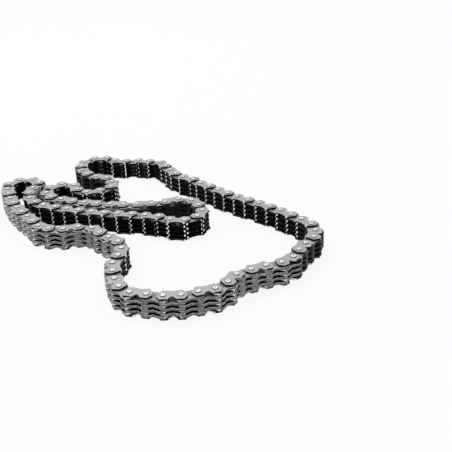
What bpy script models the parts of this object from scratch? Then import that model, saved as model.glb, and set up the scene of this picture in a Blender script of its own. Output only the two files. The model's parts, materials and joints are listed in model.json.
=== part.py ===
"""Silent chain: an endless inverted-tooth chain that lies on its side in a loose folded loop.

Run it with: blender --background --python part.py. Sizes are in millimetres, the scene in metres.

Guide rows (odd links) hold two guide plates, three inner plates and two riveted pins. Link rows (even
links) hold four toothed plates that turn on the pins of the guide rows beside them. Travelling along the
loop from link 1, the smooth backs are on the left and the teeth on the right.
"""

import math

import bmesh
import bpy
from mathutils import Matrix, Vector

MM = 0.001

# Driving dimensions, in millimetres
PITCH = 6.35
PLATE_THICKNESS = 1.0
GUIDE_THICKNESS = 0.7
PLATE_GAP = 0.05
PIN_DIAMETER = 2.1
HEAD_DIAMETER = 2.5
HEAD_HEIGHT = 0.35
HEAD_CHAMFER = 0.25
BORE_CLEARANCE = 0.04
END_GAP = 1.0
BACK_HEIGHT = 3.6
BACK_DIP = 0.8
INNER_BACK_HEIGHT = 3.0
END_ANGLE = -8
SHOULDER_REACH = 0.45
NOTCH_HEIGHT = 0.55
GUIDE_FOOT_DEPTH = 2.95
GUIDE_FOOT_INSET = 1.3
GUIDE_FOOT_REACH = 1.4
TOOTH_DEPTH = 3.4
TOOTH_INSET = 0.9
TOOTH_REACH = 1.0
CROTCH_DEPTH = 2.5
BLOCK_REACH = 1.7
FUSE_DEPTH = 0.1

# Levels of the stack, counted from the bottom
GUIDE_LEVELS = (0, 8)
INNER_LEVELS = (2, 4, 6)
LINK_LEVELS = (1, 3, 5, 7)
PIN_SIDES = 6

# Headings of chosen links, in degrees from +X; the links between turn evenly
ROUTE = (
    (1, -27), (5, 13), (7, 69), (8, 32), (10, 16), (12, 75), (14, 63), (17, 137), (22, 150),
    (28, 138), (29, 153), (31, 129), (33, 129), (34, 168), (36, 185), (38, 149), (41, 253),
    (45, 324), (46, 288), (47, 261), (48, 219), (49, 195), (50, 153), (51, 127), (52, 171),
    (54, 255), (56, 317), (62, 347), (65, 378), (67, 287), (68, 274), (71, 177), (72, 155),
    (73, 169), (75, 175), (78, 168), (81, 163), (83, 137), (85, 98), (86, 91), (87, 142), (90, 267),
    (91, 274), (96, 293), (98, 288), (101, 370), (103, 296), (105, 301), (107, 253), (111, 278),
)
LINKS = 112

# The near strand swings on the first pin of each row. The links from 38 to 107 stay put, and the rows
# before them, on the far strand, swing on their last pin. The loop is open at pin 7, between the two.
NEAR_STRAND = (108, 109, 110, 111, 112, 1, 2, 3, 4, 5, 6)
FIXED_LINKS = (38, 107)

# Links that swing together. The links of a set, at these angles to its first, add up to no displacement,
# so the loop stays closed however far they swing.
SWING_SETS = (
    ((4, 0), (108, -120), (23, 120)),
    ((6, 0), (110, -120), (35, 120)),
    ((112, 0), (27, 180)),
    ((2, 0), (37, 180)),
)

# Loose link rows, whole guide rows, the guide row that is taken apart, and the fused runs of many rows
LOOSE_LINK_ROWS = (108, 110, 112, 2, 4, 6, 36)
GUIDE_ROWS = (109, 111, 1, 5, 23, 27, 35, 37)
OPEN_GUIDE_ROW = 3
RUNS = (
    ("right_bend_near_run", 7, 13),
    ("right_bend_far_run", 14, 22),
    ("far_strand_short_run", 24, 26),
    ("far_strand_long_run", 28, 34),
    ("back_bend_run", 38, 45),
    ("back_fold_run", 46, 51),
    ("inner_bend_run", 52, 57),
    ("inner_strand_far_run", 58, 65),
    ("inner_fold_run", 66, 71),
    ("inner_strand_near_run", 72, 79),
    ("inner_corner_run", 80, 85),
    ("left_bend_run", 86, 91),
    ("left_strand_run", 92, 99),
    ("left_corner_run", 100, 107),
)


def is_guide_row(link):
    return link % 2 == 1


# Heights of the stack
LEVEL_STEP = PLATE_THICKNESS + PLATE_GAP


def level_bottom(level):
    thinner = PLATE_THICKNESS - GUIDE_THICKNESS if level > GUIDE_LEVELS[0] else 0
    return HEAD_HEIGHT + level * LEVEL_STEP - thinner


def level_top(level):
    return level_bottom(level) + (GUIDE_THICKNESS if level in GUIDE_LEVELS else PLATE_THICKNESS)


STACK_TOP = level_top(GUIDE_LEVELS[1])
BLOCK_TOP = level_top(LINK_LEVELS[-1])
PIN_RADIUS = PIN_DIAMETER / 2
BORE_RADIUS = (PIN_RADIUS + BORE_CLEARANCE) / math.cos(math.pi / PIN_SIDES)
BLOCK_FOOT = (TOOTH_INSET + TOOTH_REACH) / 2


# Route of the chain
def wrap(link):
    return (link - 1) % LINKS + 1


def drawn_heading(link):
    """Heading of a link in degrees, read between the two chosen links beside it."""
    closing = (ROUTE[0][0] + LINKS, ROUTE[0][1] + 360)
    for (first, start), (last, end) in zip(ROUTE, ROUTE[1:] + (closing,)):
        if first <= link < last:
            return start + (end - start) * (link - first) / (last - first)
    raise ValueError(f"link {link} is not on the route")


def swing_headings():
    """Headings of the swinging links, evened out so that each set adds up to no displacement."""
    headings = {}
    for links in SWING_SETS:
        first = drawn_heading(links[0][0])
        offsets = []
        for link, angle in links:
            offset = drawn_heading(link) - angle - first
            offsets.append((offset + 180) % 360 - 180)
        shared = first + sum(offsets) / len(offsets)
        for link, angle in links:
            headings[link] = math.radians(shared + angle)
    return headings


def link_headings():
    """Headings of all links in radians: the free links bend by the least amount that closes the loop."""
    fixed = swing_headings()
    free = {link: math.radians(drawn_heading(link)) for link in range(1, LINKS + 1) if link not in fixed}
    for _ in range(20):
        east = sum(math.cos(a) for a in free.values())
        north = sum(math.sin(a) for a in free.values())
        sines = sum(math.sin(a) ** 2 for a in free.values())
        cosines = sum(math.cos(a) ** 2 for a in free.values())
        mixed = sum(math.sin(a) * math.cos(a) for a in free.values())
        pull = Matrix(((sines, -mixed), (-mixed, cosines))).inverted() @ Vector((east, north))
        free = {link: a + math.sin(a) * pull.x - math.cos(a) * pull.y for link, a in free.items()}
    return fixed | free


def pin_places(headings):
    """Pin centres in millimetres, link 1 starting at the first."""
    places = {1: Vector((0.0, 0.0))}
    for link in range(1, LINKS):
        step = Vector((math.cos(headings[link]), math.sin(headings[link]))) * PITCH
        places[link + 1] = places[link] + step
    return places


# Plate outlines, with the first pin at the origin and the second at +X
def mirrored(half):
    """Closes the right half of an outline, drawn from the back to the tooth side, about the middle."""
    left = [Vector((PITCH - p.x, p.y)) for p in reversed(half) if p.x > PITCH / 2 + 0.01]
    return half + left


def end_radius():
    return (PITCH - END_GAP) / 2


def plate_end():
    """The point where a plate reaches furthest past its second pin."""
    angle = math.radians(END_ANGLE)
    return Vector((PITCH + end_radius() * math.cos(angle), end_radius() * math.sin(angle)))


def guide_outline():
    """Guide plate: high shoulders with a shallow dip between them, round ends and a deep notch."""
    return mirrored([
        Vector((PITCH / 2, -NOTCH_HEIGHT)),
        Vector((PITCH - GUIDE_FOOT_INSET, -GUIDE_FOOT_DEPTH)),
        Vector((PITCH + GUIDE_FOOT_REACH, -GUIDE_FOOT_DEPTH)),
        plate_end(),
        Vector((PITCH + SHOULDER_REACH, BACK_HEIGHT)),
        Vector((PITCH / 2, BACK_HEIGHT - BACK_DIP)),
    ])


def toothed_outline():
    """Inner and link plates: a straight back, and two teeth below the pins with a crotch between them."""
    return mirrored([
        Vector((PITCH / 2, -CROTCH_DEPTH)),
        Vector((PITCH - TOOTH_INSET, -TOOTH_DEPTH)),
        Vector((PITCH + TOOTH_REACH, -TOOTH_DEPTH)),
        plate_end(),
        Vector((PITCH + SHOULDER_REACH, INNER_BACK_HEIGHT)),
    ])


def round_outline(radius, sides, centre):
    return [
        centre + radius * Vector((math.cos(turn), math.sin(turn)))
        for turn in (2 * math.pi * (i + 0.5) / sides for i in range(sides))
    ]


# Solids
def prism(outline, bottom, top):
    """Closed bmesh of an outline drawn counter-clockwise, in millimetres."""
    mesh = bmesh.new()
    face = mesh.faces.new([mesh.verts.new((p.x, p.y, bottom)) for p in outline])
    lifted = bmesh.ops.extrude_face_region(mesh, geom=[face])
    upper = [v for v in lifted["geom"] if isinstance(v, bmesh.types.BMVert)]
    bmesh.ops.translate(mesh, verts=upper, vec=(0, 0, top - bottom))
    bmesh.ops.recalc_face_normals(mesh, faces=mesh.faces)
    return mesh


def turned(rings, sides, centre):
    """Closed solid through rings of the given radius and height, bottom first."""
    mesh = bmesh.new()
    loops = [
        [mesh.verts.new((p.x, p.y, height)) for p in round_outline(radius, sides, centre)]
        for radius, height in rings
    ]
    for lower, upper in zip(loops, loops[1:]):
        for i in range(sides):
            j = (i + 1) % sides
            mesh.faces.new((lower[i], lower[j], upper[j], upper[i]))
    mesh.faces.new(list(reversed(loops[0])))
    mesh.faces.new(loops[-1])
    return mesh


def pin_solid(centre):
    """A pin with a riveted head at each end."""
    narrow, wide = HEAD_DIAMETER / 2 - HEAD_CHAMFER, HEAD_DIAMETER / 2
    rings = (
        (narrow, 0.0), (wide, HEAD_HEIGHT), (PIN_RADIUS, HEAD_HEIGHT),
        (PIN_RADIUS, STACK_TOP), (wide, STACK_TOP), (narrow, STACK_TOP + HEAD_HEIGHT),
    )
    return turned(rings, PIN_SIDES, centre)


def top_head(centre):
    """A riveted head by itself, sunk a little into its guide plate."""
    rings = (
        (HEAD_DIAMETER / 2, STACK_TOP - GUIDE_THICKNESS / 2),
        (HEAD_DIAMETER / 2, STACK_TOP),
        (HEAD_DIAMETER / 2 - HEAD_CHAMFER, STACK_TOP + HEAD_HEIGHT),
    )
    return turned(rings, PIN_SIDES, centre)


def carried(outline, place, heading):
    """An outline carried from the plate's own frame to its place on the route."""
    turn = Matrix.Rotation(heading, 2)
    return [place + turn @ p for p in outline]


def temporary(solid, name, collection):
    data = bpy.data.meshes.new(name)
    solid.to_mesh(data)
    solid.free()
    helper = bpy.data.objects.new(name, data)
    collection.objects.link(helper)
    return helper


def fused(name, solids, cutters=()):
    """One mesh in millimetres: the union of the solids, less the cutters."""
    scene_collection = bpy.context.scene.collection
    groups = {}
    for role, members in (("UNION", solids[1:]), ("DIFFERENCE", cutters)):
        groups[role] = bpy.data.collections.new(role)
        scene_collection.children.link(groups[role])
        for member in members:
            temporary(member, role, groups[role])
    base = temporary(solids[0], name, scene_collection)
    for role, group in groups.items():
        if group.objects:
            step = base.modifiers.new(role, "BOOLEAN")
            step.operation = role
            step.operand_type = "COLLECTION"
            step.collection = group
            step.solver = "EXACT"
    bpy.context.view_layer.update()
    depsgraph = bpy.context.evaluated_depsgraph_get()
    result = bpy.data.meshes.new_from_object(base.evaluated_get(depsgraph))
    result.name = name
    for helper in [base, *groups["UNION"].objects, *groups["DIFFERENCE"].objects]:
        leftover = helper.data
        bpy.data.objects.remove(helper)
        bpy.data.meshes.remove(leftover)
    for group in groups.values():
        bpy.data.collections.remove(group)
    return result


# Rows of plates
FIRST_PIN = Vector((0.0, 0.0))
SECOND_PIN = Vector((PITCH, 0.0))


def bore_cutter(centre):
    return prism(round_outline(BORE_RADIUS, PIN_SIDES, centre), -1.0, STACK_TOP + 1.0)


def plates(outline, levels):
    return [prism(outline, level_bottom(level), level_top(level)) for level in levels]


def bored_plate(name, outline, level):
    """A single plate with its two bores."""
    return fused(name, plates(outline, (level,)), [bore_cutter(FIRST_PIN), bore_cutter(SECOND_PIN)])


def guide_row_mesh():
    """A whole guide row: guide plates and inner plates on their two riveted pins."""
    solids = plates(guide_outline(), GUIDE_LEVELS) + plates(toothed_outline(), INNER_LEVELS)
    return fused("guide_row", solids + [pin_solid(FIRST_PIN), pin_solid(SECOND_PIN)])


# Laid chain
class Route:
    """Pins and headings of the laid chain, in millimetres and radians."""

    def __init__(self):
        self.headings = link_headings()
        self.pins = pin_places(self.headings)
        centre = self.middle()
        self.pins = {number: place - centre for number, place in self.pins.items()}

    def row_outline(self, link, outline):
        return carried(outline, self.pins[wrap(link)], self.headings[wrap(link)])

    def middle(self):
        """Middle of the box round all plates."""
        points = []
        for link in self.pins:
            points += self.row_outline(link, toothed_outline())
            if is_guide_row(link):
                points += self.row_outline(link, guide_outline())
        low = Vector((min(p.x for p in points), min(p.y for p in points)))
        high = Vector((max(p.x for p in points), max(p.y for p in points)))
        return (low + high) / 2

    def on_pin(self, pin, x, y):
        """A point beside a pin, in the frame midway between its two links."""
        before = self.headings[wrap(pin - 1)]
        turn = (self.headings[wrap(pin)] - before + math.pi) % (2 * math.pi) - math.pi
        return carried([Vector((x, y))], self.pins[wrap(pin)], before + turn / 2)[0]

    def on_link(self, link, x, y):
        """A point in a link's own frame."""
        return self.row_outline(link, [Vector((x, y))])[0]


# Runs of many rows, joined into one solid
def flank_height(x):
    """Height of the inner tooth flank at a distance x from the pin towards the plate's middle."""
    share = (x - TOOTH_INSET) / (PITCH / 2 - TOOTH_INSET)
    return -TOOTH_DEPTH + share * (TOOTH_DEPTH - CROTCH_DEPTH)


def block_outline(route, first, last, rounded_start):
    """Outline of the joined middle of a run: a rounded or square start, and a square end."""
    if rounded_start:
        foot_in, foot_out, end, shoulder = (
            route.on_link(first, PITCH - p.x, p.y) for p in toothed_outline()[1:5]
        )
        teeth = [end, foot_out, foot_in, route.on_link(first, PITCH / 2, -CROTCH_DEPTH)]
        backs = [shoulder]
    else:
        cut = PITCH - BLOCK_REACH
        teeth = [route.on_link(first, cut, flank_height(BLOCK_REACH) + FUSE_DEPTH)]
        backs = [route.on_link(first, cut, INNER_BACK_HEIGHT - FUSE_DEPTH)]
    for link in range(first + 1, last + 1):
        teeth.append(route.on_pin(link, -BLOCK_FOOT, -TOOTH_DEPTH))
        teeth.append(route.on_pin(link, BLOCK_FOOT, -TOOTH_DEPTH))
        backs.append(route.on_pin(link, 0, INNER_BACK_HEIGHT))
        if link < last:
            teeth.append(route.on_link(link, PITCH / 2, -CROTCH_DEPTH))
    teeth.append(route.on_link(last, BLOCK_REACH, flank_height(BLOCK_REACH) + FUSE_DEPTH))
    backs.append(route.on_link(last, BLOCK_REACH, INNER_BACK_HEIGHT - FUSE_DEPTH))
    return teeth + list(reversed(backs))


def guide_clearance_cutter(route, link):
    """Room under the start of a run for the bottom guide plate of the row before it."""
    reach = (PITCH + END_GAP) / 2
    corners = [(-PITCH, -PITCH), (reach, -PITCH), (reach, PITCH), (-PITCH, PITCH)]
    outline = [route.on_link(link, x, y) for x, y in corners]
    return prism(outline, -1.0, level_bottom(LINK_LEVELS[0]))


def run_mesh(route, name, first, last):
    """A run of rows as one solid, with real plates where a loose row meets it."""
    loose = {wrap(link) for link in LOOSE_LINK_ROWS + GUIDE_ROWS + (OPEN_GUIDE_ROW,)}
    real_start = wrap(first - 1) in loose
    real_end = wrap(last + 1) in loose
    solids = [prism(block_outline(route, first, last, not real_start), HEAD_HEIGHT, BLOCK_TOP)]
    cutters = []
    if not real_start:
        cutters += [bore_cutter(route.pins[first]), guide_clearance_cutter(route, first)]
    for link in range(first, last + 1):
        real = (link == first and real_start) or (link == last and real_end)
        guide = route.row_outline(link, guide_outline())
        toothed = route.row_outline(link, toothed_outline())
        free_pin = wrap(link if link == first else link + 1)
        if real and not is_guide_row(link):
            solids += plates(toothed, LINK_LEVELS)
            cutters.append(bore_cutter(route.pins[free_pin]))
        elif real:
            solids += plates(guide, GUIDE_LEVELS) + plates(toothed, INNER_LEVELS)
            solids.append(pin_solid(route.pins[free_pin]))
        elif link == last:
            solids += plates(guide, GUIDE_LEVELS)
            solids.append(pin_solid(route.pins[free_pin]))
        elif is_guide_row(link):
            solids.append(prism(guide, BLOCK_TOP - FUSE_DEPTH, STACK_TOP))
            solids.append(top_head(route.pins[free_pin]))
        if is_guide_row(link):
            other_pin = wrap(link + 1 if free_pin == wrap(link) else link)
            solids.append(top_head(route.pins[other_pin]))
    return fused(name, solids, cutters)


# Materials
def steel(name, grey, roughness):
    made = bpy.data.materials.new(name)
    made.use_nodes = True
    shader = made.node_tree.nodes["Principled BSDF"]
    shader.inputs["Base Color"].default_value = (grey, grey, grey, 1)
    shader.inputs["Roughness"].default_value = roughness
    shader.inputs["Metallic"].default_value = 1.0
    return made


# Objects
def in_metres(mesh, origin):
    """Moves a mesh's origin to a point given in millimetres, and scales the mesh to metres."""
    mesh.transform(Matrix.Translation(Vector((-origin.x, -origin.y, 0))))
    mesh.transform(Matrix.Scale(MM, 4))
    mesh.shade_smooth()
    mesh.set_sharp_from_angle(angle=math.radians(50))


def pivot_pin(first, last):
    """The pin on which a piece swings: its last one on the far strand, its first on the near strand."""
    if first in NEAR_STRAND:
        return first
    if first < FIXED_LINKS[0]:
        return last + 1
    return None


def placed(route, name, mesh, material, first, last, place, heading=0.0):
    """An object at its place, parented to an empty on its pivot's axis if it swings."""
    made = bpy.data.objects.new(name, mesh)
    made.location = (place.x * MM, place.y * MM, 0)
    made.rotation_euler = (0, 0, heading)
    if not mesh.materials:
        mesh.materials.append(material)
    bpy.context.scene.collection.objects.link(made)
    pin = pivot_pin(first, last)
    if pin:
        pivot = bpy.data.objects.get(f"pivot_{pin}") or pivot_empty(route, pin)
        made.parent = pivot
        made.location -= pivot.location
    return made


def pivot_empty(route, pin):
    pivot = bpy.data.objects.new(f"pivot_{pin}", None)
    pivot.location = (route.pins[pin].x * MM, route.pins[pin].y * MM, 0)
    pivot.empty_display_size = PITCH * MM
    bpy.context.scene.collection.objects.link(pivot)
    return pivot


def main():
    for old in list(bpy.data.objects):
        bpy.data.objects.remove(old)
    route = Route()
    plate_steel = steel("plate_steel", 0.32, 0.35)
    guide_steel = steel("guide_steel", 0.5, 0.4)
    pin_steel = steel("pin_steel", 0.8, 0.2)

    link_plates = [bored_plate("link_plate", toothed_outline(), level) for level in LINK_LEVELS]
    inner_plates = [bored_plate("inner_plate", toothed_outline(), level) for level in INNER_LEVELS]
    guides = [bored_plate("guide_plate", guide_outline(), level) for level in GUIDE_LEVELS]
    whole_row = guide_row_mesh()
    rivet = fused("pin", [pin_solid(FIRST_PIN)])
    for mesh in [*link_plates, *inner_plates, *guides, whole_row, rivet]:
        in_metres(mesh, FIRST_PIN)

    def on_row(name, mesh, material, link):
        placed(route, name, mesh, material, link, link, route.pins[link], route.headings[link])

    for link in LOOSE_LINK_ROWS:
        for number, mesh in enumerate(link_plates, 1):
            on_row(f"link_{link}_plate_{number}", mesh, plate_steel, link)
    for link in GUIDE_ROWS:
        on_row(f"guide_link_{link}", whole_row, guide_steel, link)
    for number, mesh in enumerate(inner_plates, 1):
        on_row(f"inner_plate_{number}", mesh, plate_steel, OPEN_GUIDE_ROW)
    for side, mesh in zip(("bottom", "top"), guides):
        on_row(f"guide_plate_{side}", mesh, guide_steel, OPEN_GUIDE_ROW)
    for side, pin in (("left", OPEN_GUIDE_ROW), ("right", OPEN_GUIDE_ROW + 1)):
        placed(route, f"pin_{side}", rivet, pin_steel, OPEN_GUIDE_ROW, OPEN_GUIDE_ROW, route.pins[pin])
    for name, first, last in RUNS:
        mesh = run_mesh(route, name, first, last)
        in_metres(mesh, route.pins[first])
        placed(route, name, mesh, guide_steel, first, last, route.pins[first])


main()
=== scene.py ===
# %% [markdown]
# # A silent chain on a white table
# A silent chain is a stack of thin steel plates laced together on riveted pins. Each plate has two
# short teeth on one side and a plain back on the other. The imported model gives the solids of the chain
# and the body that each one moves with. This lesson dresses them with the true plate outlines, bored
# holes, eased rims and several finishes of steel.

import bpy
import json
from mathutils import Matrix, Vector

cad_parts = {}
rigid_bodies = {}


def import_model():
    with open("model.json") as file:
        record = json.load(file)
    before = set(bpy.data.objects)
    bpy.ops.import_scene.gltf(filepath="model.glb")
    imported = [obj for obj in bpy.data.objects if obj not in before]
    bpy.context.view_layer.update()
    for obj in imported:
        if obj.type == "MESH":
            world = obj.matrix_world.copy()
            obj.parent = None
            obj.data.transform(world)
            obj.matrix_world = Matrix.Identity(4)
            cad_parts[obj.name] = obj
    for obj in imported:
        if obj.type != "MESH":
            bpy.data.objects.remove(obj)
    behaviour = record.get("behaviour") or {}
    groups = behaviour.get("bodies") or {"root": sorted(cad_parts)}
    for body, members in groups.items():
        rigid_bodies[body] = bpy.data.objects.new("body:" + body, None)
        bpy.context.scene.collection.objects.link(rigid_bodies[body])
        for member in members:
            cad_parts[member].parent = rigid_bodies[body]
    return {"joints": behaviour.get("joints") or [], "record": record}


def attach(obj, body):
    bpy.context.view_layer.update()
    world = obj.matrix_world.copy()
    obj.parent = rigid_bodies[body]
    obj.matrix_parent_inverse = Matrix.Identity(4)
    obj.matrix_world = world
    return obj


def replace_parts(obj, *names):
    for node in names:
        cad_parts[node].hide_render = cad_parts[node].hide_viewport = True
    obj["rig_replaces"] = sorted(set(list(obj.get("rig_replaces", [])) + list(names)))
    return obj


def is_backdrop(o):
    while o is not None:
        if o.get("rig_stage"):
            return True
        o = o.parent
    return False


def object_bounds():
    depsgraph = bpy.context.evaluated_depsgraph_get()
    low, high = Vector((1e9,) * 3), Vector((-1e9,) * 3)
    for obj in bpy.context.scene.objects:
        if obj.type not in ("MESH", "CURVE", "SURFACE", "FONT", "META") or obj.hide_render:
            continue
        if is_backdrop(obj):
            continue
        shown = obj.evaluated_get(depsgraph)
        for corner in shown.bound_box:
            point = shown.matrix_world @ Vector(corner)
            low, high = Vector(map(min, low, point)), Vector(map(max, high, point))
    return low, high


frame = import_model()
packed_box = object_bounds()

# %% Tools for the lesson
import json
import math

import bmesh
import bpy
from mathutils import Matrix, Vector
from mathutils.geometry import tessellate_polygon

MM = 0.001

# %% [markdown]
# ## Sizes
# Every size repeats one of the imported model, in millimetres. The pitch is the distance from pin to pin.
# The stack has nine levels: guide plates at the bottom and the top, and seven toothed levels between
# them. Toothed plates of two neighbouring links take turns from level to level, as laced fingers do.

# %% Sizes
PITCH = 6.35
PLATE_THICKNESS = 1.0
GUIDE_THICKNESS = 0.7
LEVEL_STEP = 1.05
HEAD_HEIGHT = 0.35
GUIDE_LEVELS = (0, 8)
INNER_LEVELS = (2, 4, 6)
LINK_LEVELS = (1, 3, 5, 7)
LINKS = 112


def level_bottom(level):
    thinner = PLATE_THICKNESS - GUIDE_THICKNESS if level > 0 else 0
    return HEAD_HEIGHT + level * LEVEL_STEP - thinner


def level_top(level):
    return level_bottom(level) + (GUIDE_THICKNESS if level in GUIDE_LEVELS else PLATE_THICKNESS)


STACK_TOP = level_top(GUIDE_LEVELS[1])
print(f"{LINKS} links of {PITCH} mm make a loop of {LINKS * PITCH:.0f} mm")
print(f"the stack with its heads is {STACK_TOP + HEAD_HEIGHT:.2f} mm high")

# %% [markdown]
# ## The way the loop lies
# The chain could be laid by a rope simulation, but then nobody could say where a given link is. It is
# laid from headings instead: the direction of some chosen links, in degrees, with even turns between
# them. Ten links form groups that swing together. Their headings are evened out first, and the free
# links then bend by the least amount that closes the loop.

# %% Headings of chosen links
ROUTE = (
    (1, -27), (5, 13), (7, 69), (8, 32), (10, 16), (12, 75), (14, 63), (17, 137), (22, 150),
    (28, 138), (29, 153), (31, 129), (33, 129), (34, 168), (36, 185), (38, 149), (41, 253),
    (45, 324), (46, 288), (47, 261), (48, 219), (49, 195), (50, 153), (51, 127), (52, 171),
    (54, 255), (56, 317), (62, 347), (65, 378), (67, 287), (68, 274), (71, 177), (72, 155),
    (73, 169), (75, 175), (78, 168), (81, 163), (83, 137), (85, 98), (86, 91), (87, 142), (90, 267),
    (91, 274), (96, 293), (98, 288), (101, 370), (103, 296), (105, 301), (107, 253), (111, 278),
)
SWING_SETS = (
    ((4, 0), (108, -120), (23, 120)),
    ((6, 0), (110, -120), (35, 120)),
    ((112, 0), (27, 180)),
    ((2, 0), (37, 180)),
)


def drawn_heading(link):
    """Heading of a link in degrees, read between the two chosen links beside it."""
    closing = (ROUTE[0][0] + LINKS, ROUTE[0][1] + 360)
    for (first, start), (last, end) in zip(ROUTE, ROUTE[1:] + (closing,)):
        if first <= link < last:
            return start + (end - start) * (link - first) / (last - first)


print("link 50 is drawn at", drawn_heading(50), "degrees")

# %% Close the loop
headings = {}
for links in SWING_SETS:
    first = drawn_heading(links[0][0])
    offsets = [(drawn_heading(link) - angle - first + 180) % 360 - 180 for link, angle in links]
    shared = first + sum(offsets) / len(offsets)
    headings.update({link: math.radians(shared + angle) for link, angle in links})
free = {link: math.radians(drawn_heading(link)) for link in range(1, LINKS + 1) if link not in headings}
for _ in range(20):
    gap = Vector((sum(math.cos(a) for a in free.values()), sum(math.sin(a) for a in free.values())))
    sines = sum(math.sin(a) ** 2 for a in free.values())
    cosines = sum(math.cos(a) ** 2 for a in free.values())
    mixed = sum(math.sin(a) * math.cos(a) for a in free.values())
    pull = Matrix(((sines, -mixed), (-mixed, cosines))).inverted() @ gap
    free = {link: a + math.sin(a) * pull.x - math.cos(a) * pull.y for link, a in free.items()}
headings.update(free)
print("the loop closes within", round(gap.length * PITCH, 6), "mm")

# %% Pin places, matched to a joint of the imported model
JOINT_LINK = 108
pins = {1: Vector((0.0, 0.0))}
for link in range(1, LINKS):
    pins[link + 1] = pins[link] + PITCH * Vector((math.cos(headings[link]), math.sin(headings[link])))
joint = next(j for j in frame["joints"] if j["name"] == f"pin_{JOINT_LINK}")
shift = Vector(joint["pos_m"][:2]) / MM - pins[JOINT_LINK]
pins = {link: place + shift for link, place in pins.items()}
print("pin 1 stands at", [round(v, 2) for v in pins[1]], "mm")

# %% [markdown]
# ## Camera
# The photograph looks down on the chain at about 25 degrees. The camera's place was found by matching
# the pins to the picture. It aims at one point of the top face, from a set distance, and leans a little.

# %% Camera
AIM = Vector((34.53, -18.16, STACK_TOP)) * MM
DISTANCE = 0.3112
ELEVATION = math.radians(25.20)
LEAN = math.radians(-2.479)
LENS = 59.1

camera_data = bpy.data.cameras.new("camera")
camera_data.lens = LENS
camera_data.sensor_width = 36
camera_data.clip_start = 0.01
camera = bpy.data.objects.new("camera", camera_data)
bpy.context.scene.collection.objects.link(camera)
looking = Vector((0, math.cos(ELEVATION), -math.sin(ELEVATION)))
level_right = Vector((1, 0, 0))
level_up = Vector((0, math.sin(ELEVATION), math.cos(ELEVATION)))
right = math.cos(LEAN) * level_right + math.sin(LEAN) * level_up
up = math.cos(LEAN) * level_up - math.sin(LEAN) * level_right
turned = Matrix((right, up, -looking)).transposed().to_4x4()
camera.matrix_world = Matrix.Translation(AIM - DISTANCE * looking) @ turned
bpy.context.scene.camera = camera
bpy.context.scene.view_settings.view_transform = "Standard"
print("camera at", [round(v, 3) for v in camera.matrix_world.translation])

# %% [markdown]
# ## Table and light
# The chain lies on white paper that shows almost no shadow. A white floor alone would turn grey under
# the chain's walls, and a lamp strong enough to whiten it would burn out the steel. So the floor is
# partly a plain matt white, which keeps a faint shadow, and partly a white that only the camera and
# the reflections see. One wide, soft lamp above gives the plates a little direction.

# %% Helpers for node trees
def add(tree, kind, **settings):
    """A new node with the given settings."""
    made = tree.nodes.new(kind)
    for name, value in settings.items():
        setattr(made, name, value)
    return made


def join(tree, source, target):
    tree.links.new(source, target)


def sees_white(tree):
    """1 for camera, glossy and transmission rays, and 0 for the light that falls on things."""
    path = add(tree, "ShaderNodeLightPath")
    total = path.outputs["Is Camera Ray"]
    for label in ("Is Glossy Ray", "Is Transmission Ray"):
        step = add(tree, "ShaderNodeMath", operation="MAXIMUM")
        join(tree, total, step.inputs[0])
        join(tree, path.outputs[label], step.inputs[1])
        total = step.outputs[0]
    return total


print("node helpers ready")

# %% World
WORLD_LEVEL = 0.8
world = bpy.data.worlds.new("white_room")
world.use_nodes = True
bpy.context.scene.world = world
tree = world.node_tree
tree.nodes.clear()
lighting = add(tree, "ShaderNodeBackground")
lighting.inputs["Strength"].default_value = WORLD_LEVEL
backdrop = add(tree, "ShaderNodeBackground")
choice = add(tree, "ShaderNodeMixShader")
join(tree, sees_white(tree), choice.inputs[0])
for number, background in enumerate((lighting, backdrop), 1):
    background.inputs["Color"].default_value = (1, 1, 1, 1)
    join(tree, background.outputs[0], choice.inputs[number])
join(tree, choice.outputs[0], add(tree, "ShaderNodeOutputWorld").inputs["Surface"])
print("world lights at", WORLD_LEVEL)

# %% Floor
FLOOR_HALF = 4.0
FLOOR_DROP = 0.00002
PLAIN_WHITE_SHARE = 0.88
floor_mesh = bpy.data.meshes.new("white_paper")
corners = [(x * FLOOR_HALF, y * FLOOR_HALF, -FLOOR_DROP) for x, y in ((-1, -1), (1, -1), (1, 1), (-1, 1))]
floor_mesh.from_pydata(corners, [], [(0, 1, 2, 3)])
paper = bpy.data.materials.new("white_paper")
paper.use_nodes = True
tree = paper.node_tree
tree.nodes.clear()
matt = add(tree, "ShaderNodeBsdfDiffuse")
matt.inputs["Color"].default_value = (0.95, 0.95, 0.95, 1)
plain = add(tree, "ShaderNodeEmission")
share = add(tree, "ShaderNodeMath", operation="MULTIPLY")
share.inputs[1].default_value = PLAIN_WHITE_SHARE
join(tree, sees_white(tree), share.inputs[0])
blend = add(tree, "ShaderNodeMixShader")
join(tree, share.outputs[0], blend.inputs[0])
join(tree, matt.outputs[0], blend.inputs[1])
join(tree, plain.outputs[0], blend.inputs[2])
join(tree, blend.outputs[0], add(tree, "ShaderNodeOutputMaterial").inputs["Surface"])
floor_mesh.materials.append(paper)
floor = bpy.data.objects.new("white_paper", floor_mesh)
bpy.context.scene.collection.objects.link(floor)
floor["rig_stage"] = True
print("floor of", 2 * FLOOR_HALF, "m")

# %% Soft lamp
lamp_data = bpy.data.lights.new("soft_lamp", "AREA")
lamp_data.shape = "RECTANGLE"
lamp_data.size = 0.9
lamp_data.size_y = 0.5
lamp_data.energy = 1.6
lamp = bpy.data.objects.new("soft_lamp", lamp_data)
lamp.location = (-0.25, 0.35, 0.75)
lamp.rotation_euler = (-lamp.location).to_track_quat("-Z", "Y").to_euler()
bpy.context.scene.collection.objects.link(lamp)
print("lamp of", lamp_data.energy, "W")

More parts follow.
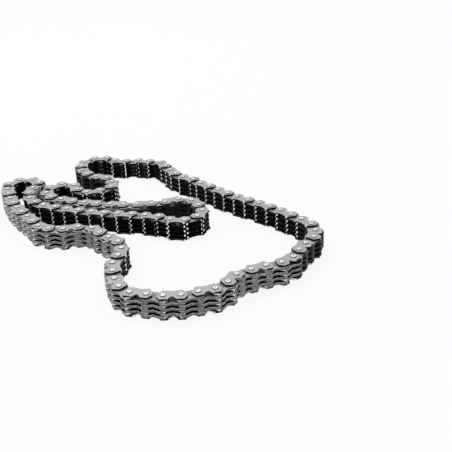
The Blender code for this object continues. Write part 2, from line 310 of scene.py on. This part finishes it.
# %% [markdown]
# ## Steel, in layers
# All parts are steel, but no two surfaces look alike. Rolled faces are satin with a fine grain. Cut
# walls carry streaks that the punch drew along the thickness. Rims are rubbed, and oil leaves smudges.
# Each of these effects is a node group, built once and given its own values in every material. Some
# steels also hold painted light: bright shoulders, flanks, lips and head lands are painted highlights,
# and near-black backs, guide walls, faces between plates, dimples and head edges are painted shade.
# The texture follows the object's own coordinates, so that it moves with its link.

# %% A node group with named sockets
def new_group(name, inputs, outputs):
    """An empty group with its sockets. Returns the group, its input node and its output node."""
    tree = bpy.data.node_groups.new(name, "ShaderNodeTree")
    for label, value in inputs.items():
        socket = tree.interface.new_socket(label, in_out="INPUT", socket_type="NodeSocketFloat")
        socket.default_value = value
    for label in outputs:
        tree.interface.new_socket(label, in_out="OUTPUT", socket_type="NodeSocketFloat")
    return tree, add(tree, "NodeGroupInput"), add(tree, "NodeGroupOutput")


def noise(tree, vector, scale, detail=3.0, rough=0.55):
    made = add(tree, "ShaderNodeTexNoise")
    made.inputs["Scale"].default_value = scale
    made.inputs["Detail"].default_value = detail
    made.inputs["Roughness"].default_value = rough
    join(tree, vector, made.inputs["Vector"])
    return made.outputs["Fac"]


def stretched(tree, x, y, z):
    """Object coordinates, scaled apart along each axis."""
    place = add(tree, "ShaderNodeTexCoord").outputs["Object"]
    scaled = add(tree, "ShaderNodeVectorMath", operation="MULTIPLY")
    scaled.inputs[1].default_value = (x, y, z)
    join(tree, place, scaled.inputs[0])
    return scaled.outputs[0]


def steepened(tree, value, low, high):
    """Spreads the part of a value from low to high over 0 to 1."""
    made = add(tree, "ShaderNodeMapRange", interpolation_type="SMOOTHSTEP")
    made.inputs["From Min"].default_value = low
    made.inputs["From Max"].default_value = high
    join(tree, value, made.inputs["Value"])
    return made.outputs["Result"]


print("group helpers ready")

# %% Rolled grain
GRAIN_SCALE = 2600.0
GRAIN_HEIGHT_SCALE = 14000
grain_group, ends_in, ends_out = new_group("rolled grain", {"Scale": GRAIN_SCALE}, ("Shade", "Height"))
place = stretched(grain_group, 1, 1, 1)
fine = add(grain_group, "ShaderNodeTexNoise")
fine.inputs["Detail"].default_value = 4.0
fine.inputs["Roughness"].default_value = 0.6
join(grain_group, place, fine.inputs["Vector"])
join(grain_group, ends_in.outputs["Scale"], fine.inputs["Scale"])
join(grain_group, steepened(grain_group, fine.outputs["Fac"], 0.3, 0.7), ends_out.inputs["Shade"])
join(grain_group, noise(grain_group, place, GRAIN_HEIGHT_SCALE, 2.0), ends_out.inputs["Height"])
print("rolled grain: fine noise of about", round(1 / MM / GRAIN_SCALE, 2), "mm")

# %% Punched streaks
STREAK_SPACING = 5000.0
STREAK_LENGTHENING = 0.12
streak_sockets = {"Spacing": STREAK_SPACING}
streak_group, ends_in, ends_out = new_group("punched streaks", streak_sockets, ("Shade", "Height"))
tall = stretched(streak_group, 1, 1, STREAK_LENGTHENING)
lines = add(streak_group, "ShaderNodeTexNoise")
lines.inputs["Detail"].default_value = 3.0
join(streak_group, tall, lines.inputs["Vector"])
join(streak_group, ends_in.outputs["Spacing"], lines.inputs["Scale"])
join(streak_group, steepened(streak_group, lines.outputs["Fac"], 0.35, 0.68), ends_out.inputs["Shade"])
join(streak_group, lines.outputs["Fac"], ends_out.inputs["Height"])
print("punched streaks run along the thickness")

# %% Oil smudges
OIL_SCALE = 260
oil_group, ends_in, ends_out = new_group("oil smudges", {"Cover": 0.5}, ("Mask",))
patches = noise(oil_group, stretched(oil_group, 1, 1, 1), OIL_SCALE, 4.0, 0.6)
lifted = add(oil_group, "ShaderNodeMath", operation="MULTIPLY")
join(oil_group, steepened(oil_group, patches, 0.45, 0.75), lifted.inputs[0])
join(oil_group, ends_in.outputs["Cover"], lifted.inputs[1])
join(oil_group, lifted.outputs[0], ends_out.inputs["Mask"])
print("oil smudges of about", round(1 / MM / OIL_SCALE, 1), "mm")

# %% Rubbed rims
BROKEN_SCALE = 1500
rim_group, ends_in, ends_out = new_group("rubbed rims", {"Amount": 0.8}, ("Mask",))
rim = add(rim_group, "ShaderNodeAttribute", attribute_name="rim")
worn = noise(rim_group, stretched(rim_group, 1, 1, 1), BROKEN_SCALE, 3.0)
broken = steepened(rim_group, worn, 0.3, 0.6)
rubbed = add(rim_group, "ShaderNodeMath", operation="MULTIPLY")
join(rim_group, rim.outputs["Fac"], rubbed.inputs[0])
join(rim_group, broken, rubbed.inputs[1])
scaled = add(rim_group, "ShaderNodeMath", operation="MULTIPLY")
join(rim_group, rubbed.outputs[0], scaled.inputs[0])
join(rim_group, ends_in.outputs["Amount"], scaled.inputs[1])
join(rim_group, scaled.outputs[0], ends_out.inputs["Mask"])
print("rims are rubbed where the mesh says so")

# %% One recipe for every steel
OIL_TONE = (0.02, 0.018, 0.015, 1)
RUBBED_AMOUNT = 0.8
RELIEF_DEPTH = 0.00004


def placed_group(tree, group, **values):
    made = add(tree, "ShaderNodeGroup", node_tree=group)
    for label, value in values.items():
        made.inputs[label].default_value = value
    return made


def mixed_tone(tree, factor, low, high):
    """Mixes two colours. Each is a plain colour or the output of another mix."""
    made = add(tree, "ShaderNodeMix", data_type="RGBA")
    join(tree, factor, made.inputs[0])
    for socket, tone in ((made.inputs[6], low), (made.inputs[7], high)):
        if isinstance(tone, tuple):
            socket.default_value = tone
        else:
            join(tree, tone, socket)
    return made.outputs[2]


def grey(level):
    return (level, level * 1.008, level * 1.012, 1)


def steel(name, dark, light, smooth, rough, oil=0.3, rubbed=None, streaked=False, bump=0.15):
    """Steel between two greys and two roughnesses, with grain or streaks, oil and rubbed rims."""
    made = bpy.data.materials.new(name)
    made.use_nodes = True
    tree = made.node_tree
    shader = tree.nodes["Principled BSDF"]
    shader.inputs["Metallic"].default_value = 1.0
    if streaked:
        texture = placed_group(tree, streak_group, Spacing=STREAK_SPACING)
    else:
        texture = placed_group(tree, grain_group, Scale=GRAIN_SCALE)
    tone = mixed_tone(tree, texture.outputs["Shade"], grey(dark), grey(light))
    if rubbed:
        mask = placed_group(tree, rim_group, Amount=RUBBED_AMOUNT).outputs["Mask"]
        tone = mixed_tone(tree, mask, tone, grey(rubbed))
    smudge = placed_group(tree, oil_group, Cover=oil).outputs["Mask"]
    join(tree, mixed_tone(tree, smudge, tone, OIL_TONE), shader.inputs["Base Color"])
    sheen = add(tree, "ShaderNodeMapRange")
    sheen.inputs["To Min"].default_value = smooth
    sheen.inputs["To Max"].default_value = rough
    join(tree, texture.outputs["Shade"], sheen.inputs["Value"])
    join(tree, sheen.outputs["Result"], shader.inputs["Roughness"])
    relief = add(tree, "ShaderNodeBump")
    relief.inputs["Strength"].default_value = bump
    relief.inputs["Distance"].default_value = RELIEF_DEPTH
    join(tree, texture.outputs["Height"], relief.inputs["Height"])
    join(tree, relief.outputs["Normal"], shader.inputs["Normal"])
    return made


print("steel recipe ready")

# %% The finishes of this chain
guide_face = steel("guide_face_steel", 0.35, 0.43, 0.36, 0.5, oil=0.12, rubbed=0.6)
plate_face = steel("plate_face_steel", 0.16, 0.26, 0.34, 0.5, oil=0.5, rubbed=0.5)
# Faces that lie between plates are near-black: painted shade in the gaps, with oil smudges over it.
gap_steel = steel("gap_painted_shade_steel", 0.004, 0.02, 0.4, 0.6, oil=0.6)
# Near-black back walls and back rims: a painted dark reflection.
dark_wall = steel("back_wall_painted_dark_reflection", 0.002, 0.006, 0.4, 0.6, oil=0.2, streaked=True, bump=0.3)
dark_lip = steel("back_lip_painted_dark_reflection", 0.003, 0.03, 0.35, 0.55, oil=0.3)
# Near-black guide walls and darker guide rims: painted shade, the dark line under each guide plate.
guide_wall = steel("guide_wall_painted_shade", 0.004, 0.03, 0.35, 0.55, oil=0.3, streaked=True, bump=0.3)
guide_lip = steel("guide_lip_painted_shade", 0.03, 0.2, 0.3, 0.5, oil=0.2)
# Bright notch flanks of the guide plates: a painted highlight.
guide_flank = steel("guide_flank_painted_highlight", 0.2, 0.85, 0.16, 0.35, oil=0.2, streaked=True, bump=0.3)
tooth_wall = steel("tooth_wall_steel", 0.04, 0.34, 0.3, 0.5, oil=0.5, streaked=True, bump=0.3)
# Near-black tooth walls for some rows: painted shade, with oil smudges over it.
painted_shade_tooth_wall = steel("tooth_wall_painted_shade_steel", 0.004, 0.03, 0.3, 0.5,
                         oil=0.7, streaked=True, bump=0.3)
# Bright shoulders, tooth flanks and tooth-side rims are painted highlights.
bright_corner = steel("shoulder_painted_highlight_steel", 0.75, 0.98, 0.25, 0.45, oil=0.0, streaked=True, bump=0.3)
flank_steel = steel("flank_painted_highlight_steel", 0.35, 0.95, 0.16, 0.35, oil=0.3, streaked=True, bump=0.3)
bright_lip = steel("lip_painted_highlight_steel", 0.4, 0.95, 0.2, 0.4, oil=0.3)
# The bright land of each head is a painted highlight.
head_steel = steel("head_land_painted_highlight", 0.85, 0.98, 0.14, 0.3, oil=0.0, bump=0.1)
ring_steel = steel("head_rim_steel", 0.36, 0.48, 0.25, 0.45, oil=0.1)
# The dark dimple and the dark shank steel on the head's outer edge are painted shade.
dimple_painted_shade = steel("dimple_painted_shade", 0.03, 0.1, 0.4, 0.6, oil=0.5)
shank_steel = steel("pin_shank_painted_shade", 0.03, 0.12, 0.3, 0.5, oil=0.4)
FACE, GAP, WALL, BACK, CORNER, FLANK, WALL_LIP, BACK_LIP, CORNER_LIP, FLANK_LIP = range(10)
GUIDE_STEELS = (guide_face, gap_steel, guide_wall, guide_wall, bright_corner, guide_flank,
                guide_lip, guide_lip, bright_corner, guide_flank)
TOOTHED_STEELS = (plate_face, gap_steel, tooth_wall, dark_wall, bright_corner, flank_steel,
                  bright_lip, dark_lip, bright_corner, flank_steel)
# Steels for rows whose tooth side gets painted shade.
PAINTED_SHADE_STEELS = (plate_face, gap_steel, painted_shade_tooth_wall, dark_wall, bright_corner, painted_shade_tooth_wall,
                dark_lip, dark_lip, bright_corner, dark_lip)
# Rows whose tooth walls, flanks and rims get painted shade.
PAINTED_SHADE_ROWS = [*range(12, 17), *range(40, 48), *range(63, 69)]
HEAD, DIMPLE, SHANK, RING = range(4)
PIN_STEELS = (head_steel, dimple_painted_shade, shank_steel, ring_steel)
print("steels:", ", ".join(m.name for m in GUIDE_STEELS + TOOTHED_STEELS + PIN_STEELS))

# %% [markdown]
# ## Outlines of the plates
# A blanked plate has no sharp corner in plan. The outline is drawn as a few corner points with a radius
# at each, as on a workshop drawing, and a function lays the arcs. It also notes what each stretch is:
# the flat back, a shoulder, or the tooth side. The steel of the wall follows that note, and paints light
# there: painted shade on the back and a painted highlight on the shoulders and flanks.

# %% Corner points, from the middle of the tooth side round to the back
END_RADIUS = (PITCH - 1.0) / 2
END_TILT = math.radians(-8)
PLATE_END = (PITCH + END_RADIUS * math.cos(END_TILT), END_RADIUS * math.sin(END_TILT))
GUIDE_CORNERS = (
    ((PITCH / 2, -0.55), 0.35, FLANK),
    ((PITCH - 1.3, -2.95), 0.2, WALL),
    ((PITCH + 1.4, -2.95), 0.35, WALL),
    (PLATE_END, 1.0, WALL),
    ((PITCH + 0.45, 3.6), 0.7, CORNER),
    ((PITCH / 2, 2.8), 3.0, BACK),
)
TOOTHED_CORNERS = (
    ((PITCH / 2, -2.5), 0.8, WALL),
    ((PITCH - 0.9, -3.4), 0.25, WALL),
    ((PITCH + 1.0, -3.4), 0.3, WALL),
    ((PITCH + 2.1, -1.4), 0.8, FLANK),
    ((PITCH + 2.1, 0.4), 1.2, CORNER),
    ((PITCH + 0.45, 3.0), 0.7, CORNER),
)


def whole(corners):
    """Both halves of a plate, counter-clockwise: the drawn half and its mirror image."""
    other = [((PITCH - x, y), radius, kind) for (x, y), radius, kind in corners if x > PITCH / 2 + 0.01]
    return list(corners) + other[::-1]


print("guide plate:", len(whole(GUIDE_CORNERS)), "corners; toothed plate:", len(whole(TOOTHED_CORNERS)))

# %% Lay the arcs
STEP_ANGLE = math.radians(16)


def outline(corners):
    """Points of an outline with round corners, and the kind of wall that starts at each point."""
    points, kinds = [], []
    for i, (corner, radius, kind) in enumerate(corners):
        corner = Vector(corner)
        before = (Vector(corners[i - 1][0]) - corner).normalized()
        after = (Vector(corners[(i + 1) % len(corners)][0]) - corner).normalized()
        turn = math.pi - before.angle(after)
        steps = max(2, round(turn / STEP_ANGLE))
        middle = corner + (before + after).normalized() * radius / math.cos(turn / 2)
        spoke = corner + before * radius * math.tan(turn / 2) - middle
        side = 1 if before.cross(after) < 0 else -1
        for step in range(steps + 1):
            points.append(middle + Matrix.Rotation(side * turn * step / steps, 2) @ spoke)
            kinds.append(kind)
        next_kind = corners[(i + 1) % len(corners)][2]
        if {kind, next_kind} <= {CORNER, BACK}:
            kinds[-1] = BACK
        else:
            kinds[-1] = FLANK if {kind, next_kind} == {WALL, FLANK} else WALL
    return points, kinds


for name, corners in (("guide", GUIDE_CORNERS), ("toothed", TOOTHED_CORNERS)):
    print(name, "outline has", len(outline(whole(corners))[0]), "points")

# %% [markdown]
# ## From outline to plate
# A plate could be an extruded curve with a bevel, but then all its walls would share one material. It is
# built ring by ring instead: the outline is drawn a little inwards on the face, outwards at the
# wall, and inwards again, which leaves an eased rim that catches the light. Bores get a ring of their
# own, and both faces are closed round them with triangles.

# %% Rings of a plate
RIM = 0.07
PLAY = 0.07
RUBBED_BAND = 0.3
BORE_RADIUS = 1.09
BORE_SIDES = 14
SEEN_LEVEL = 6
LIP_AFTER = WALL_LIP - WALL


def drawn_in(points, depth):
    """The outline moved inwards by a depth."""
    moved = []
    for i, point in enumerate(points):
        before = (point - points[i - 1]).normalized()
        after = (points[(i + 1) % len(points)] - point).normalized()
        inward = Vector((-before.y - after.y, before.x + after.x)).normalized()
        moved.append(point + inward * depth / max(0.5, inward.dot(Vector((-after.y, after.x)))))
    return moved


def circle(centre, radius, sides):
    turns = [2 * math.pi * (i + 0.5) / sides for i in range(sides)]
    return [Vector((centre[0] + radius * math.cos(t), centre[1] + radius * math.sin(t))) for t in turns]


print("rim of", RIM, "mm, bores of", 2 * BORE_RADIUS, "mm")


# %% Plate builder
def add_ring(mesh, points, height, rub, rim):
    made = [mesh.verts.new((p.x, p.y, height)) for p in points]
    for vertex in made:
        vertex[rim] = rub
    return made


def add_band(mesh, lower, upper, steels, smooth=True):
    """Faces between two rings, seen from outside when the rings run counter-clockwise."""
    for i in range(len(lower)):
        j = (i + 1) % len(lower)
        face = mesh.faces.new((lower[i], lower[j], upper[j], upper[i]))
        face.material_index = steels[i] if isinstance(steels, list) else steels
        face.smooth = smooth


def add_plate(mesh, corners, level, banded=False):
    """Adds one plate with its bores to a mesh, in millimetres in the plate's own frame."""
    rim = mesh.verts.layers.float["rim"]
    points, kinds = outline(whole(corners))
    points = drawn_in(points, PLAY)
    lips = [kind + LIP_AFTER for kind in kinds]
    bottom, top = level_bottom(level), level_top(level)
    eased = drawn_in(points, RIM)
    outside = [
        add_ring(mesh, eased, bottom, 1, rim),
        add_ring(mesh, points, bottom + RIM, 1, rim),
        add_ring(mesh, points, top - RIM, 1, rim),
        add_ring(mesh, eased, top, 1, rim),
    ]
    for lower, upper, steels in zip(outside, outside[1:], (lips, kinds, lips)):
        add_band(mesh, lower, upper, steels)
    bores = [[add_ring(mesh, circle(centre, BORE_RADIUS, BORE_SIDES), height, 0, rim)
              for height in (bottom, top)] for centre in ((0, 0), (PITCH, 0))]
    for low, high in bores:
        add_band(mesh, high, low, WALL)
    for height, edge, holes, up in ((bottom, outside[0], [b[0] for b in bores], False),
                                    (top, outside[3], [b[1] for b in bores], True)):
        # Top faces below the seen level and all bottom faces take the gap steel: painted shade between
        # plates.
        face_steel = FACE if up and level >= SEEN_LEVEL else GAP
        if banded:
            inner = add_ring(mesh, drawn_in(points, RUBBED_BAND), height, 0, rim)
            add_band(mesh, edge if up else inner, inner if up else edge, face_steel, smooth=False)
            edge = inner
        loops = [[v.co for v in edge]] + [[v.co for v in hole] for hole in holes]
        vertices = edge + holes[0] + holes[1]
        for corner_numbers in tessellate_polygon(loops):
            face = mesh.faces.new([vertices[n] for n in corner_numbers])
            face.normal_update()
            if (face.normal.z > 0) != up:
                face.normal_flip()
            face.material_index = face_steel


print("plate builder ready")

# %% [markdown]
# ## Riveted pins
# Each pin is a short round bar. Its ends stand out of the guide plates and are spun over into low heads,
# so they can't pull back through. The tool leaves a small dimple in the middle and a rounded land round
# it.
# The land gets a painted highlight, and the dimple and the outer edge of the head get painted shade.
# A pin is turned here from a profile of radii and heights, from the bottom dimple up.

# %% Pin builder
PIN_SIDES = 24
PIN_RADIUS = 1.05
# HEAD rings get the painted highlight; DIMPLE and SHANK rings get painted shade.
HEAD_PROFILE = (
    (0.12, 0.16, DIMPLE), (0.26, 0.09, DIMPLE), (0.34, 0.01, HEAD), (0.72, 0.0, HEAD),
    (0.82, 0.03, RING), (1.05, 0.07, RING), (1.18, 0.16, SHANK), (1.25, 0.30, SHANK), (1.22, 0.35, SHANK),
)


def add_pin(mesh, centre, first_steel):
    """Adds a riveted pin to a mesh. Its steels start at the given slot."""
    rim = mesh.verts.layers.float["rim"]
    whole_height = STACK_TOP + HEAD_HEIGHT
    below = [*HEAD_PROFILE, (PIN_RADIUS, HEAD_HEIGHT, SHANK)]
    above = [(radius, whole_height - height) for radius, height, _ in reversed(below)]
    kinds = [kind for _, _, kind in below]
    kinds += kinds[-2::-1]
    rings = [add_ring(mesh, circle(centre, radius, PIN_SIDES), height, 0, rim)
             for radius, height in [(r, h) for r, h, _ in below] + above]
    for lower, upper, kind in zip(rings, rings[1:], kinds):
        add_band(mesh, lower, upper, first_steel + kind)
    for ring, flip in ((rings[0], True), (rings[-1], False)):
        face = mesh.faces.new(ring[::-1] if flip else ring)
        face.material_index = first_steel + DIMPLE


print("pin of", 2 * PIN_RADIUS, "mm with heads of", 2 * max(r for r, _, _ in HEAD_PROFILE), "mm")

# %% [markdown]
# ## Rows on their bodies
# A piece here is one row of the stack: four toothed plates, or two guide plates with three inner plates
# and two pins. Rows are the smallest things that move by themselves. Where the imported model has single
# plates, the pieces are single too. A piece rides on the body of the solid it replaces, and its
# place is written into its mesh, so that its box is exact.

# %% Which solid and body each row belongs to
body_nodes = frame["record"]["behaviour"]["bodies"]
node_body = {node: body for body, nodes in body_nodes.items() for node in nodes}
RUNS = (
    ("right_bend_near_run", 7, 13), ("right_bend_far_run", 14, 22), ("far_strand_short_run", 24, 26),
    ("far_strand_long_run", 28, 34), ("back_bend_run", 38, 45), ("back_fold_run", 46, 51),
    ("inner_bend_run", 52, 57), ("inner_strand_far_run", 58, 65), ("inner_fold_run", 66, 71),
    ("inner_strand_near_run", 72, 79), ("inner_corner_run", 80, 85), ("left_bend_run", 86, 91),
    ("left_strand_run", 92, 99), ("left_corner_run", 100, 107),
)
run_of = {link: name for name, first, last in RUNS for link in range(first, last + 1)}
LOOSE_LINK_ROWS = (108, 110, 112, 2, 4, 6, 36)
WHOLE_GUIDE_ROWS = (109, 111, 1, 5, 23, 27, 35, 37)
OPEN_GUIDE_ROW = 3
print(len(run_of), "rows in runs,", len(LOOSE_LINK_ROWS) + len(WHOLE_GUIDE_ROWS) + 1, "loose rows")


# %% Make a piece and dress a solid with it
def new_mesh():
    mesh = bmesh.new()
    mesh.verts.layers.float.new("rim")
    return mesh


def finished(mesh, name, link, steels, node):
    """Turns a mesh into a piece at its link's place, on the body of the solid it replaces."""
    place = Matrix.Translation(pins[link].to_3d()) @ Matrix.Rotation(headings[link], 4, "Z")
    bmesh.ops.transform(mesh, matrix=Matrix.Scale(MM, 4) @ place, verts=mesh.verts)
    data = bpy.data.meshes.new(name)
    mesh.to_mesh(data)
    mesh.free()
    for material in steels:
        data.materials.append(material)
    piece = bpy.data.objects.new(name, data)
    bpy.context.scene.collection.objects.link(piece)
    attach(piece, node_body[node])
    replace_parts(piece, node)
    return piece


print("piece helper ready")


# %% Rows
def shift_slots(mesh, start, by):
    for face in list(mesh.faces)[start:]:
        face.material_index += by


def link_row(link, node):
    mesh = new_mesh()
    for level in LINK_LEVELS:
        add_plate(mesh, TOOTHED_CORNERS, level)
    steels = PAINTED_SHADE_STEELS if link in PAINTED_SHADE_ROWS else TOOTHED_STEELS
    return finished(mesh, f"row_{link}_toothed_plates", link, steels, node)


def guide_row(link, node):
    mesh = new_mesh()
    for level in GUIDE_LEVELS:
        add_plate(mesh, GUIDE_CORNERS, level, banded=True)
    start = len(mesh.faces)
    for level in INNER_LEVELS:
        add_plate(mesh, TOOTHED_CORNERS, level)
    shift_slots(mesh, start, len(GUIDE_STEELS))
    for centre in ((0, 0), (PITCH, 0)):
        add_pin(mesh, centre, len(GUIDE_STEELS) + len(TOOTHED_STEELS))
    toothed_steels = PAINTED_SHADE_STEELS if link in PAINTED_SHADE_ROWS else TOOTHED_STEELS
    steels = GUIDE_STEELS + toothed_steels + PIN_STEELS
    return finished(mesh, f"row_{link}_guides_and_pins", link, steels, node)


for link, node in sorted(run_of.items()):
    make = guide_row if link % 2 else link_row
    make(link, node)
for link in WHOLE_GUIDE_ROWS:
    guide_row(link, f"guide_link_{link}")
print("rows:", len(run_of) + len(WHOLE_GUIDE_ROWS))

# %% Single plates and pins of the loose rows
for link in LOOSE_LINK_ROWS:
    for number, level in enumerate(LINK_LEVELS, 1):
        mesh = new_mesh()
        add_plate(mesh, TOOTHED_CORNERS, level)
        finished(mesh, f"toothed_plate_{link}_{number}", link, TOOTHED_STEELS,
                 f"link_{link}_plate_{number}")
for number, level in enumerate(INNER_LEVELS, 1):
    mesh = new_mesh()
    add_plate(mesh, TOOTHED_CORNERS, level)
    finished(mesh, f"inner_toothed_plate_{number}", OPEN_GUIDE_ROW, TOOTHED_STEELS,
             f"inner_plate_{number}")
for side, level in zip(("bottom", "top"), GUIDE_LEVELS):
    mesh = new_mesh()
    add_plate(mesh, GUIDE_CORNERS, level, banded=True)
    finished(mesh, f"dressed_guide_plate_{side}", OPEN_GUIDE_ROW, GUIDE_STEELS,
             f"guide_plate_{side}")
for side, centre in (("left", (0, 0)), ("right", (PITCH, 0))):
    mesh = new_mesh()
    add_pin(mesh, centre, 0)
    finished(mesh, f"dressed_pin_{side}", OPEN_GUIDE_ROW, PIN_STEELS, f"pin_{side}")
new_pieces = [piece for piece in bpy.data.objects if "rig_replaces" in piece]
print("triangles:", sum(len(face.vertices) - 2 for piece in new_pieces for face in piece.data.polygons))

# %% [markdown]
# ## Boxes
# The dressed chain must stay inside the box of the imported one. Both boxes are printed here.

# %% Boxes
dressed_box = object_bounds()
for side, packed, dressed in zip(("low", "high"), packed_box, dressed_box):
    print(side, "packed", [round(v / MM, 2) for v in packed])
    print(side, "dressed", [round(v / MM, 2) for v in dressed])
